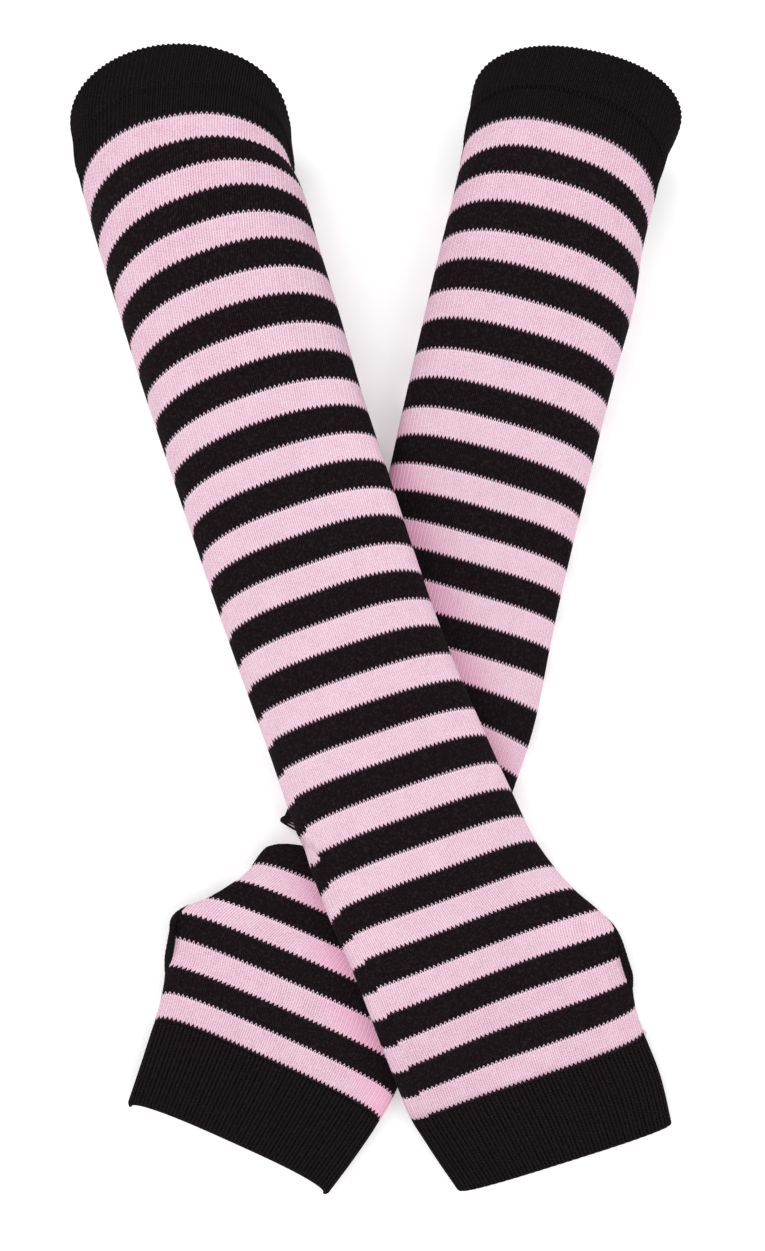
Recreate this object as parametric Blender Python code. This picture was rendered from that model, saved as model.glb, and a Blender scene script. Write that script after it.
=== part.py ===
"""A pair of striped knitted arm warmers, laid crossed on a flat surface.

Each arm warmer is a hollow knitted tube, still rounded out as if an arm had just left it:
a doubled welt at the upper arm, a striped sleeve, a thumb slit with a narrow bound edge,
and a ribbed cuff at the hand. The one that starts at the left lies over the other.

Frame: +Z up, the surface is z = 0, +Y runs towards the upper arm ends, and the origin is
under the middle of the pair. The tables and sizes below are in millimetres.
"""

import math

import bmesh
import bpy
import numpy as np

MM = 0.001

# Cut of one arm warmer, measured along the cloth from the upper arm rim
STRIPE = 10.2
STRIPES = 35
TOP_CUFF = 24.5
WELT = 14.5
HAND_CUFF = 31.0
SLEEVE_END = TOP_CUFF + STRIPES * STRIPE
LENGTH = SLEEVE_END + HAND_CUFF
SEAM_GAP = 0.4

# Each sleeve is one knitted tube, built in two lengths that part at a stripe's edge
SLEEVE_PARTING = TOP_CUFF + 18 * STRIPE

# Walls
SLEEVE_WALL = 1.4
WELT_RISE = 0.55
WELT_STEP = 1.5
RIM_ROUND = 1.0
CUFF_WALL = 1.9
RIB_HEIGHT = 0.7
RIB_FADE = 2.0
RIBS = 60

# Thumb slit, on the side of the hand, and its bound edge
SLIT_MIDDLE = 344.0
SLIT_HALF_LENGTH = 16.5
SLIT_HALF_WIDTH = 5.2
EDGING_HALF_WIDTH = 1.1
EDGING_RISE = 0.5
EDGING_DEPTH = 1.3
EDGING_POINTS = 28

# How finely the walls are divided
SLEEVE_POINTS = 32
CUFF_POINTS = 36
ARM_RINGS = 15
HAND_RINGS = 10
SLIT_RINGS = (-18.4, -17.3, -14.5, -9.0, 0.0, 9.0, 14.5, 17.3, 18.4)
LOOP_SAMPLES = 720
CORNER_WEIGHT = 6.0

# Sections: how far down the axis the two sides lie, the half widths seen from above,
# the height of the crest over what lies below, how far the crest leads the sides
# towards the rim, and how far the right side lags behind the left
COLUMNS = ("cloth", "down", "left", "right", "crown", "lean", "skew")
OVER_SECTIONS = (
    (0.0, 18.4, 34.4, 39.3, 43.0, 16.0, 5.0),
    (12.0, 32.6, 36.3, 38.6, 46.0, 17.4, 4.4),
    (24.5, 45.8, 37.9, 36.5, 47.5, 18.2, 3.4),
    (45.0, 62.0, 38.2, 35.7, 47.5, 16.6, 0.4),
    (65.5, 77.0, 38.6, 35.5, 46.0, 13.4, -0.6),
    (96.0, 102.7, 39.2, 35.0, 42.0, 11.2, -0.8),
    (126.5, 131.2, 39.4, 33.9, 37.0, 10.8, -0.5),
    (157.0, 160.9, 39.4, 33.6, 32.0, 11.3, -0.3),
    (187.5, 190.0, 39.3, 33.5, 27.5, 10.1, -0.1),
    (218.5, 218.6, 38.8, 34.1, 23.0, 7.4, -0.5),
    (249.0, 249.2, 37.5, 36.7, 19.5, 6.6, -0.9),
    (279.5, 280.9, 35.7, 40.8, 17.0, 7.1, -1.1),
    (300.0, 302.2, 34.4, 44.9, 15.5, 7.0, -0.6),
    (320.5, 321.6, 32.5, 52.2, 14.5, 5.0, 0.8),
    (331.0, 330.6, 31.8, 57.9, 14.5, 2.8, 0.9),
    (341.0, 339.2, 31.3, 62.0, 14.5, 1.2, 0.7),
    (351.0, 347.9, 30.9, 62.4, 14.5, -0.2, 0.3),
    (361.0, 357.5, 30.5, 61.0, 13.5, -1.2, -0.1),
    (371.0, 367.9, 30.4, 59.8, 12.5, -1.6, -0.4),
    (381.5, 378.4, 30.3, 59.7, 11.5, -1.8, -0.4),
    (397.0, 395.4, 27.1, 60.6, 11.0, -1.0, 0.0),
    (412.5, 413.2, 22.3, 58.9, 10.5, 0.3, 0.4),
)
UNDER_SECTIONS = (
    (0.0, 12.2, 35.2, 38.1, 35.0, 11.6, -0.9),
    (12.0, 28.2, 36.4, 37.3, 37.0, 14.0, 0.9),
    (24.5, 44.2, 35.4, 35.5, 38.0, 15.2, 2.2),
    (45.0, 60.9, 34.4, 36.0, 37.5, 13.0, 2.4),
    (65.5, 77.1, 34.2, 36.3, 35.5, 9.5, 2.1),
    (96.0, 104.7, 34.3, 36.6, 30.0, 7.2, 1.5),
    (126.5, 134.8, 34.3, 36.7, 23.5, 6.8, 1.5),
    (157.0, 163.5, 34.0, 36.9, 17.5, 5.5, 1.5),
    (187.5, 191.6, 33.9, 37.1, 14.0, 3.8, 1.7),
    (208.0, 212.2, 34.0, 37.6, 12.7, 3.2, 1.2),
    (228.5, 232.6, 34.0, 39.5, 12.0, 2.8, 0.8),
    (259.0, 261.6, 33.7, 42.8, 11.5, 2.6, 0.4),
    (289.5, 292.6, 29.7, 44.6, 11.5, 2.5, 0.2),
    (296.5, 299.4, 27.5, 45.0, 11.5, 2.5, 0.0),
    (303.0, 304.9, 30.1, 45.3, 11.5, 2.6, -0.2),
    (320.5, 318.8, 36.2, 46.1, 12.0, 3.2, -0.6),
    (331.0, 327.8, 43.3, 46.7, 12.8, 4.1, -1.0),
    (341.0, 337.2, 49.9, 47.3, 13.8, 4.9, -1.2),
    (351.0, 347.0, 50.4, 47.9, 14.0, 5.7, -1.0),
    (361.0, 357.1, 47.0, 48.3, 13.5, 6.4, -0.8),
    (371.0, 367.2, 44.2, 48.3, 12.5, 6.9, -0.5),
    (381.5, 377.7, 42.2, 47.6, 11.5, 7.2, -0.5),
    (397.0, 395.2, 39.9, 44.7, 11.0, 7.9, -0.6),
    (412.5, 412.7, 37.9, 41.3, 10.5, 8.8, -0.7),
)

# Where each tube starts and which way it runs, in degrees from -Y towards +X
OVER_START = (-77.7, 200.4)
OVER_HEADING = 18.06
UNDER_START = (71.6, 203.1)
UNDER_HEADING = -13.25
UNDER_TURN = -11.55
UNDER_TURN_FROM = 208.0
UNDER_TURN_TO = 246.0

# Shape of a section: powers of the curves over the top and under, from rounded out to
# nearly flat, and the share of the lower half that the surface presses flat
FULL_CROWN = 42.0
FLAT_CROWN = 12.0
ROUND_POWER = 2.3
FLAT_POWER = 2.9
RIM_ROUNDER = 0.3
UNDER_POWER = 3.0
FLAT_SHARE = 0.05

# How far the underside trails the sides, as a share of the lean, at the rim and at the hem
UNDER_TRAIL_RIM = 0.4
UNDER_TRAIL_HEM = -0.3

# How the upper sleeve lies over the lower one
REST_GAP = 0.7
SHOULDER_INSIDE = 8.0
SHOULDER_OUTSIDE = 18.0
SOFT_INSIDE = 24.0
SOFT_OUTSIDE = 34.0

PINK = (0.86, 0.52, 0.68, 1.0)
BLACK = (0.012, 0.010, 0.011, 1.0)
KNIT_ROUGHNESS = 0.9


def smooth_column(table, column, cloth):
    """Value of one column at a place along the cloth, on a smooth curve through its rows."""
    rows = np.array(table)
    places = rows[:, 0]
    values = rows[:, COLUMNS.index(column)]
    slopes = np.gradient(values, places)
    i = int(np.clip(np.searchsorted(places, cloth) - 1, 0, len(places) - 2))
    span = places[i + 1] - places[i]
    t = (cloth - places[i]) / span
    start = (2 * t**3 - 3 * t**2 + 1) * values[i] + (t**3 - 2 * t**2 + t) * span * slopes[i]
    end = (3 * t**2 - 2 * t**3) * values[i + 1] + (t**3 - t**2) * span * slopes[i + 1]
    return start + end


def ease(t):
    """Smooth step from 0 to 1."""
    t = np.clip(t, 0.0, 1.0)
    return t * t * (3 - 2 * t)


def fall(outside, full_until, gone_at):
    """1 well inside an edge and 0 well outside it, on half a cosine wave."""
    t = np.clip((outside + full_until) / (full_until + gone_at), 0.0, 1.0)
    return 0.5 * (1 + np.cos(math.pi * t))


class Tube:
    """The form of one arm warmer: its axis, its sections and what it lies on."""

    def __init__(self, sections, start, heading, turn, turn_from, turn_to, thumb, bed):
        self.sections = sections
        self.thumb = thumb
        self.bed = bed
        downs = np.arange(0.0, LENGTH + 20.0, 1.0)
        share = ease((downs - turn_from) / max(turn_to - turn_from, 1.0))
        headings = np.radians(heading + turn * share)
        along = np.stack([np.sin(headings), -np.cos(headings)], axis=1)
        middles = 0.5 * (along[1:] + along[:-1])
        self.downs = downs
        self.points = np.array(start) + np.concatenate([np.zeros((1, 2)), np.cumsum(middles, axis=0)])
        self.along = along
        self.across = np.stack([np.cos(headings), np.sin(headings)], axis=1)

    def at(self, column, cloth):
        return smooth_column(self.sections, column, cloth)

    def axis(self, down):
        """Point, direction and sideways direction of the axis."""
        picked = [np.array([np.interp(down, self.downs, part[:, k]) for k in range(2)])
                  for part in (self.points, self.along, self.across)]
        return picked

    def loop(self, cloth):
        """Closed section at one place: sideways, height, outward normal and run of its points.

        It starts at the thumb side and goes over the top. The underside is cut flat where
        the tube rests.
        """
        left, right, crown = (self.at(name, cloth) for name in ("left", "right", "crown"))
        half = 0.5 * (left + right)
        middle = 0.5 * (right - left)
        side = 0.5 * crown
        flatness = np.clip((FULL_CROWN - crown) / (FULL_CROWN - FLAT_CROWN), 0.0, 1.0)
        top_power = ROUND_POWER + (FLAT_POWER - ROUND_POWER) * flatness
        top_power = top_power - RIM_ROUNDER * max(0.0, 1 - cloth / TOP_CUFF)
        angle = np.linspace(0.0, 2 * math.pi, LOOP_SAMPLES, endpoint=False)
        c, s = np.cos(angle), np.sin(angle)
        power = np.where(s >= 0, top_power, UNDER_POWER)
        sideways = np.sign(c) * np.abs(c) ** (2 / power)
        height = np.sign(s) * np.abs(s) ** (2 / power)
        u = middle + self.thumb * half * sideways
        z = side * (1 + height)
        sunk = FLAT_SHARE * side
        low = np.maximum(0.0, (z - sunk) * side / (side - sunk))
        z = np.where(s >= 0, z, low)
        ahead = np.roll(np.stack([u, z]), -1, axis=1)
        behind = np.roll(np.stack([u, z]), 1, axis=1)
        run = ahead - behind
        length = np.maximum(np.hypot(run[0], run[1]), 1e-9)
        outward = np.stack([run[1], -run[0]]) / length * self.thumb
        steps = np.hypot(ahead[0] - u, ahead[1] - z)
        arc = np.concatenate([[0.0], np.cumsum(steps)])
        return u, z, outward, arc

    def read(self, cloth, arcs, offset):
        """Sideways place and height at runs round the section, moved outward by an offset."""
        u, z, outward, arc = self.loop(cloth)
        total = arc[-1]
        arcs = np.mod(arcs, total)
        side, height, side_out, height_out = (
            np.interp(arcs, arc, np.append(part, part[0]))
            for part in (u, z, outward[0], outward[1]))
        return side + offset * side_out, np.maximum(0.0, height + offset * height_out)

    def spread(self, cloth, count, cut=None):
        """Runs of the points round a section, closer together at its tight sides."""
        u, z, outward, arc = self.loop(cloth)
        turned = np.unwrap(np.arctan2(outward[1], outward[0]))
        turned = np.abs(np.append(turned, turned[0] + 2 * math.pi * self.thumb) - turned[0])
        weight = arc + CORNER_WEIGHT * np.maximum.accumulate(turned)
        if cut is None:
            wanted = (np.arange(count) + 0.5) / count * weight[-1]
        else:
            ends = np.interp([cut, arc[-1] - cut], arc, weight)
            wanted = np.linspace(ends[0], ends[1], count)
        return np.interp(wanted, weight, arc)

    def place(self, cloth, u, z):
        """Space points in metres for sideways places and heights of one section."""
        left, right, crown, lean, skew, down = (
            self.at(name, cloth) for name in ("left", "right", "crown", "lean", "skew", "down"))
        half = 0.5 * (left + right)
        middle = 0.5 * (right - left)
        level = (z - 0.5 * crown) / (0.5 * crown)
        trail = UNDER_TRAIL_RIM + (UNDER_TRAIL_HEM - UNDER_TRAIL_RIM) * cloth / LENGTH
        lead = lean * (level + (1 - trail) * np.minimum(level, 0.0) ** 2)
        point, along, across = self.axis(down)
        shift = skew * (u - middle) / half - lead
        plan = point + np.outer(shift, along) + np.outer(u, across)
        if self.bed:
            floor, soft = self.bed(plan)
            z = z + floor * (1 - z / crown) + soft * z / crown
        return np.column_stack([plan, z]) * MM


def make_bed(lower):
    """Height that the upper tube rests on, and the softer rise that its top shows."""
    cloths = np.arange(0.0, LENGTH, 3.0)
    downs = np.array([lower.at("down", c) for c in cloths])
    frames = [lower.axis(down) for down in downs]
    points, along, across = (np.array([frame[k] for frame in frames]) for k in range(3))
    left, right, crown = (np.array([lower.at(name, c) for c in cloths])
                          for name in ("left", "right", "crown"))

    def bed(plan):
        apart = plan[:, None, :] - points[None, :, :]
        nearest = np.argmin((apart**2).sum(axis=2), axis=1)
        picked = apart[np.arange(len(plan)), nearest]
        ahead = (picked * along[nearest]).sum(axis=1)
        sideways = (picked * across[nearest]).sum(axis=1)
        place = np.interp(cloths[nearest] + ahead, cloths, cloths)
        high = np.interp(place, cloths, crown) + REST_GAP
        outside = np.maximum(sideways - np.interp(place, cloths, right),
                             -sideways - np.interp(place, cloths, left))
        floor = high * fall(outside, SHOULDER_INSIDE, SHOULDER_OUTSIDE)
        soft = high * fall(outside, SOFT_INSIDE, SOFT_OUTSIDE)
        return floor, soft

    return bed


def ring(tube, cloth, arcs, offset):
    """One closed row of points of a wall."""
    u, z = tube.read(cloth, arcs, offset)
    return tube.place(cloth, u, z)


def wall(name, outer, inner, open_spans, colour):
    """Solid wall between outer and inner rows of points, open at both ends.

    In the spans listed in open_spans the last column is left out, which cuts the slit.
    """
    mesh = bmesh.new()
    out = [[mesh.verts.new(point) for point in row] for row in outer]
    ins = [[mesh.verts.new(point) for point in row] for row in inner]
    count = len(out[0])
    for r in range(len(out) - 1):
        columns = count - 1 if r in open_spans else count
        for j in range(columns):
            k = (j + 1) % count
            mesh.faces.new((out[r][j], out[r][k], out[r + 1][k], out[r + 1][j]))
            mesh.faces.new((ins[r][j], ins[r + 1][j], ins[r + 1][k], ins[r][k]))
        if r in open_spans:
            for j in (0, count - 1):
                mesh.faces.new((out[r][j], out[r + 1][j], ins[r + 1][j], ins[r][j]))
    for r in (0, len(out) - 1):
        for j in range(count):
            k = (j + 1) % count
            mesh.faces.new((out[r][j], ins[r][j], ins[r][k], out[r][k]))
    if open_spans:
        for r in (min(open_spans), max(open_spans) + 1):
            mesh.faces.new((out[r][-1], out[r][0], ins[r][0], ins[r][-1]))
    finish(name, mesh, colour)


def finish(name, mesh, colour):
    """Turn a bmesh into a named object with its own material."""
    bmesh.ops.triangulate(mesh, faces=mesh.faces[:])
    bmesh.ops.recalc_face_normals(mesh, faces=mesh.faces[:])
    data = bpy.data.meshes.new(name)
    mesh.to_mesh(data)
    mesh.free()
    data.shade_smooth()
    data.set_sharp_from_angle(angle=math.radians(50))
    material = bpy.data.materials.new(name + "_knit")
    material.use_nodes = True
    shader = material.node_tree.nodes["Principled BSDF"]
    shader.inputs["Base Color"].default_value = colour
    shader.inputs["Roughness"].default_value = KNIT_ROUGHNESS
    shader.inputs["Metallic"].default_value = 0.0
    data.materials.append(material)
    bpy.context.collection.objects.link(bpy.data.objects.new(name, data))


def edging_path():
    """Middle line of the bound edge round the slit: places along the cloth and round it."""
    angle = np.linspace(0.0, 2 * math.pi, EDGING_POINTS, endpoint=False)
    along = SLIT_HALF_LENGTH * np.cos(angle)
    around = SLIT_HALF_WIDTH * np.sin(angle)
    normal = np.stack([SLIT_HALF_WIDTH * np.cos(angle), SLIT_HALF_LENGTH * np.sin(angle)])
    return along, around, normal / np.hypot(normal[0], normal[1])


def slit_cut(place):
    """Half width of the opening in the wall, a seam gap clear of the bound edge."""
    along, around, normal = edging_path()
    reach = EDGING_HALF_WIDTH + SEAM_GAP
    edge_along = np.append(along + reach * normal[0], along[0] + reach * normal[0][0])
    edge_around = np.append(around + reach * normal[1], 0.0)
    upper = edge_around >= 0
    order = np.argsort(edge_along[upper])
    half = np.interp(place, edge_along[upper][order], edge_around[upper][order])
    return max(half + SEAM_GAP, EDGING_HALF_WIDTH)


def length_of_tube(name, tube, cloths, slit):
    """One length of the striped tube, cut open at the places listed in slit."""
    outer, inner = [], []
    for cloth in cloths:
        cut = slit_cut(cloth - SLIT_MIDDLE) if cloth in slit else None
        arcs = tube.spread(cloth, SLEEVE_POINTS, cut)
        outer.append(ring(tube, cloth, arcs, 0.0))
        inner.append(ring(tube, cloth, arcs, -SLEEVE_WALL))
    spans = [r for r in range(len(cloths) - 1) if cloths[r] in slit and cloths[r + 1] in slit]
    wall(name, outer, inner, set(spans), PINK)


def sleeve(prefix, tube):
    """The striped sleeve, an arm length and a hand length with the thumb slit cut through."""
    slit = [SLIT_MIDDLE + place for place in SLIT_RINGS]
    seam = SEAM_GAP / 2
    arm = np.linspace(TOP_CUFF + seam, SLEEVE_PARTING - seam, ARM_RINGS)
    length_of_tube(prefix + "_arm_sleeve", tube, list(arm), [])
    hand = np.linspace(SLEEVE_PARTING + seam, slit[0], HAND_RINGS)[:-1]
    below = [0.5 * (slit[-1] + SLEEVE_END), SLEEVE_END - seam]
    length_of_tube(prefix + "_hand_sleeve", tube, list(hand) + slit + below, slit)


def top_cuff(name, tube):
    """The plain cuff: a doubled welt, thicker than the single cloth below its linking line."""
    seam = TOP_CUFF - SEAM_GAP / 2
    steps = ((0.0, -0.4, -1.0), (RIM_ROUND, WELT_RISE, -CUFF_WALL), (WELT, WELT_RISE, -CUFF_WALL),
             (WELT + WELT_STEP, 0.0, -SLEEVE_WALL), (seam, 0.0, -SLEEVE_WALL))
    outer, inner = [], []
    for cloth, out, ins in steps:
        arcs = tube.spread(cloth, CUFF_POINTS)
        outer.append(ring(tube, cloth, arcs, out))
        inner.append(ring(tube, cloth, arcs, ins))
    wall(name, outer, inner, set(), BLACK)


def hand_cuff(name, tube):
    """The ribbed cuff: ribs raised outside, plain inside."""
    count = 2 * RIBS
    outer, inner = [], []
    for cloth in (SLEEVE_END + SEAM_GAP / 2, SLEEVE_END + HAND_CUFF / 2, LENGTH):
        total = tube.loop(cloth)[3][-1]
        arcs = (np.arange(count) + 0.5) / count * total
        height = tube.read(cloth, arcs, 0.0)[1]
        pressed = np.clip(height / RIB_FADE, 0.0, 1.0)
        ribs = RIB_HEIGHT * pressed * (np.arange(count) % 2 - 0.5)
        outer.append(ring(tube, cloth, arcs, ribs))
        inner.append(ring(tube, cloth, arcs, -CUFF_WALL))
    wall(name, outer, inner, set(), BLACK)


def thumb_edging(name, tube):
    """The narrow bound edge, a closed loop just inside the slit."""
    along, around, normal = edging_path()
    half, rise, depth = EDGING_HALF_WIDTH, EDGING_RISE, EDGING_DEPTH
    profile = ((-half, -0.3 * depth), (-0.7 * half, rise), (0.7 * half, rise),
               (half, -0.3 * depth), (0.7 * half, -depth), (-0.7 * half, -depth))
    mesh = bmesh.new()
    rows = []
    for i in range(EDGING_POINTS):
        row = []
        for across, lift in profile:
            cloth = SLIT_MIDDLE + along[i] + across * normal[0][i]
            arcs = np.array([around[i] + across * normal[1][i]])
            row.append(mesh.verts.new(ring(tube, cloth, arcs, lift)[0]))
        rows.append(row)
    count = len(profile)
    for i in range(EDGING_POINTS):
        ahead = rows[(i + 1) % EDGING_POINTS]
        for j in range(count):
            k = (j + 1) % count
            mesh.faces.new((rows[i][j], rows[i][k], ahead[k], ahead[j]))
    finish(name, mesh, BLACK)


def arm_warmer(prefix, tube):
    """All the pieces of one arm warmer."""
    top_cuff(prefix + "_top_cuff", tube)
    sleeve(prefix, tube)
    thumb_edging(prefix + "_thumb_edging", tube)
    hand_cuff(prefix + "_hand_cuff", tube)


def main():
    for item in list(bpy.data.objects):
        bpy.data.objects.remove(item)
    under = Tube(UNDER_SECTIONS, UNDER_START, UNDER_HEADING, UNDER_TURN,
                 UNDER_TURN_FROM, UNDER_TURN_TO, thumb=-1, bed=None)
    over = Tube(OVER_SECTIONS, OVER_START, OVER_HEADING, 0.0, 0.0, 0.0,
                thumb=1, bed=make_bed(under))
    arm_warmer("under", under)
    arm_warmer("over", over)


main()
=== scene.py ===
"""Finish of a pair of striped knitted arm warmers that lie crossed on a pale floor.

Lengths in the tables and in the knitting code are in millimetres along or across the cloth.
Settings that a user would change are in metres, as Blender shows them.
"""

import math

import bmesh
import bpy
import numpy as np
from bpy.props import FloatProperty, FloatVectorProperty, IntProperty, PointerProperty
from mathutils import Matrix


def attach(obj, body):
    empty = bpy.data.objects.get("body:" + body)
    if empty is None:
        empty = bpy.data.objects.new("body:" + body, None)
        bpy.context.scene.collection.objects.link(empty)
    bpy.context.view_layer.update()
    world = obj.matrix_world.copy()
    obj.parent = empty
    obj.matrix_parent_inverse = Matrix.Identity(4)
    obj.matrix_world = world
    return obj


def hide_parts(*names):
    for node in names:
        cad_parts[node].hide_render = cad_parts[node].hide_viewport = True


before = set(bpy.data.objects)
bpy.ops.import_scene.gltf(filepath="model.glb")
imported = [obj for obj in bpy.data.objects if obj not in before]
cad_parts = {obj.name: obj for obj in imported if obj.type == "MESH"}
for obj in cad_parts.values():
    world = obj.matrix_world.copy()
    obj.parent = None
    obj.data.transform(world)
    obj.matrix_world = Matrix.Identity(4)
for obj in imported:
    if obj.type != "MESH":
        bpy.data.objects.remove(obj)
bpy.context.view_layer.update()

bl_info = {
    "name": "Striped arm warmers",
    "version": (1, 0, 0),
    "blender": (4, 5, 0),
    "location": "3D View > Sidebar > Arm warmers",
    "description": "Knitted finish for a crossed pair of striped arm warmers",
    "category": "Object",
}

MM = 0.001

# Cut of one arm warmer along the cloth, as the solids have it
STRIPE = 10.2
STRIPES = 35
TOP_CUFF = 24.5
WELT = 14.5
WELT_STEP = 1.5
HAND_CUFF = 31.0
SLEEVE_END = TOP_CUFF + STRIPES * STRIPE
LENGTH = SLEEVE_END + HAND_CUFF
SLEEVE_WALL = 1.4
CUFF_WALL = 1.9
WELT_RISE = 0.55
RIBS = 60
RIB_FADE = 2.0
SLIT_HALF_LENGTH = 16.5
SLIT_HALF_WIDTH = 5.2
EDGING_HALF_WIDTH = 1.1

# Black courses that the cuffs and the sleeve share at their seams, so that no gap shows
SEAM_COURSE = 1.2
SEAM_HAIRLINE = 0.04

# Sections: how far down the axis the two sides lie, the half widths seen from above,
# the height of the crest, how far the crest leads the sides towards the rim, and how far
# the right side lags behind the left. They began as the sections of the solids, which a
# program fitted to the photograph, and were corrected by differences that were measured
# between the outlines of the photograph and of the render
COLUMNS = ("cloth", "down", "left", "right", "crown", "lean", "skew")
OVER_SECTIONS = (
    (0.0, 18.4, 34.2, 39.3, 43.0, 16.6, 5.0),
    (5.0, 24.6, 34.8, 37.6, 44.4, 17.1, 4.8),
    (12.0, 32.6, 36.1, 36.3, 46.0, 17.6, 4.4),
    (24.5, 45.8, 37.1, 34.4, 47.5, 18.2, 3.4),
    (45.0, 62.0, 37.9, 35.7, 47.5, 16.6, 0.4),
    (65.5, 77.0, 38.2, 35.2, 46.0, 13.4, -0.6),
    (96.0, 102.7, 38.8, 34.7, 42.0, 11.2, -0.8),
    (126.5, 131.2, 39.0, 33.6, 37.0, 10.8, -0.5),
    (157.0, 160.9, 39.0, 33.3, 32.0, 11.3, -0.3),
    (187.5, 190.0, 38.9, 33.4, 27.5, 10.1, -0.1),
    (218.5, 218.6, 38.4, 34.1, 23.0, 7.4, -0.5),
    (249.0, 249.2, 37.1, 36.7, 19.5, 6.6, -0.9),
    (279.5, 280.9, 35.5, 40.5, 17.0, 7.1, -1.1),
    (300.0, 302.2, 34.4, 44.0, 15.5, 7.0, -0.6),
    (320.5, 321.6, 32.5, 52.0, 14.5, 5.0, 0.8),
    (331.0, 330.6, 31.8, 57.9, 14.5, 2.8, 0.9),
    (341.0, 339.2, 31.3, 61.8, 14.5, 1.2, 0.7),
    (351.0, 347.9, 30.9, 63.0, 14.5, -0.2, 0.3),
    (361.0, 357.5, 30.5, 61.7, 13.5, -1.2, -0.1),
    (371.0, 367.9, 30.4, 59.8, 12.5, -1.6, -0.4),
    (381.5, 378.4, 30.3, 59.7, 11.5, -1.8, -0.4),
    (397.0, 395.7, 27.1, 60.6, 11.0, -1.0, 0.0),
    (412.5, 413.8, 22.3, 59.1, 10.5, 0.3, 0.4),
)
UNDER_SECTIONS = (
    (0.0, 12.2, 35.2, 38.4, 35.0, 11.6, -0.9),
    (5.0, 18.9, 34.5, 36.5, 36.0, 12.7, 0.0),
    (12.0, 28.2, 34.5, 35.6, 37.0, 14.0, 0.9),
    (24.5, 44.2, 34.0, 35.4, 38.0, 15.2, 2.2),
    (45.0, 60.9, 33.8, 35.4, 37.5, 13.0, 2.4),
    (65.5, 77.1, 34.0, 37.1, 35.5, 9.5, 2.1),
    (96.0, 104.7, 34.1, 36.6, 30.0, 7.2, 1.5),
    (126.5, 134.8, 34.0, 36.7, 23.5, 6.8, 1.5),
    (157.0, 163.5, 33.7, 36.9, 17.5, 5.5, 1.5),
    (187.5, 191.6, 33.9, 37.4, 14.0, 3.8, 1.7),
    (208.0, 212.2, 34.0, 38.3, 12.7, 3.2, 1.2),
    (228.5, 232.6, 33.5, 40.1, 12.0, 2.8, 0.8),
    (259.0, 262.0, 32.4, 42.8, 11.5, 3.2, 0.4),
    (279.5, 283.8, 30.4, 44.3, 11.5, 4.0, 0.2),
    (286.0, 290.4, 30.1, 44.5, 11.5, 4.5, 0.2),
    (288.9, 292.7, 29.6, 44.6, 11.5, 5.0, 0.2),
    (289.9, 292.9, 25.0, 44.6, 11.5, 5.5, 0.1),
    (290.9, 293.2, 20.0, 44.7, 11.5, 6.0, 0.1),
    (297.5, 299.7, 18.8, 45.0, 11.5, 6.5, 0.0),
    (299.4, 300.9, 23.0, 45.1, 11.5, 7.0, 0.0),
    (301.0, 302.3, 27.8, 45.2, 11.5, 7.0, 0.0),
    (303.0, 304.5, 31.4, 45.3, 11.5, 7.0, 0.0),
    (305.6, 307.6, 32.7, 45.5, 11.5, 7.0, 0.0),
    (310.1, 312.5, 33.4, 45.7, 11.6, 7.0, -0.1),
    (320.3, 320.2, 37.0, 46.1, 12.0, 5.7, -0.4),
    (330.5, 329.7, 43.9, 46.7, 12.8, 6.2, -0.8),
    (336.0, 334.9, 49.0, 47.0, 13.3, 7.0, -1.0),
    (341.0, 339.6, 51.8, 47.3, 13.8, 7.3, -1.1),
    (346.0, 343.9, 52.7, 47.6, 14.0, 7.0, -1.1),
    (351.0, 348.1, 51.2, 47.9, 14.0, 6.7, -1.0),
    (356.0, 353.0, 48.8, 48.1, 13.8, 6.5, -0.9),
    (361.0, 357.7, 46.3, 48.3, 13.5, 6.4, -0.8),
    (371.0, 367.5, 43.4, 48.5, 12.5, 6.9, -0.5),
    (381.5, 377.6, 41.8, 47.7, 11.5, 7.2, -0.4),
    (397.0, 393.6, 39.9, 45.2, 11.0, 7.5, -0.4),
    (412.5, 410.1, 38.1, 41.8, 10.5, 7.1, -0.4),
)

# Where each tube starts and which way it runs, in degrees from -Y towards +X
OVER_START = (-77.7, 200.4)
OVER_HEADING = 18.06
UNDER_START = (71.6, 203.1)
UNDER_HEADING = -13.25
UNDER_TURN = -11.55
UNDER_TURN_FROM = 208.0
UNDER_TURN_TO = 246.0

# Shape of a section, as the solids have it
FULL_CROWN = 42.0
FLAT_CROWN = 12.0
ROUND_POWER = 2.3
FLAT_POWER = 2.9
RIM_ROUNDER = 0.3
UNDER_POWER = 3.0
FLAT_SHARE = 0.05
UNDER_TRAIL_RIM = 0.4
REST_GAP = 0.7
SHOULDER_INSIDE = 8.0
SHOULDER_OUTSIDE = 18.0
SOFT_INSIDE = 24.0
SOFT_OUTSIDE = 34.0

# Where a section differs from the solids: how its underside trails at the hem, how far the
# hem's underside follows its top, and how far both sides lead towards the rim, in leans
UNDER_TRAIL_HEM = -0.9
HEM_MIRROR = 2.15
SIDE_SOFTENING = 0.22
SIDE_WIDTH = 0.42
SOFTENED_FROM = 5.0
SOFTENED_IN = 18.0
SOFTENED_TO = 285.0
SOFTENED_OUT = 45.0

# How finely the cloth is divided, and how far the axis runs on past it
LOOP_SAMPLES = 720
BED_STEP = 1.5
AXIS_SPARE = 20.0
POINTS_PER_WALE = 4
POINTS_PER_RIB = 8
ROWS_PER_STRIPE = 3
CREASE = (285.0, 307.0)
CREASE_ROWS = 26
SLIT_ROWS = 19
INSIDE_EVERY = 4
CUFF_ROW = 1.5
FOLD_ROWS = 6
EDGING_POINTS = 112
EDGING_SIDES = 12

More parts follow.
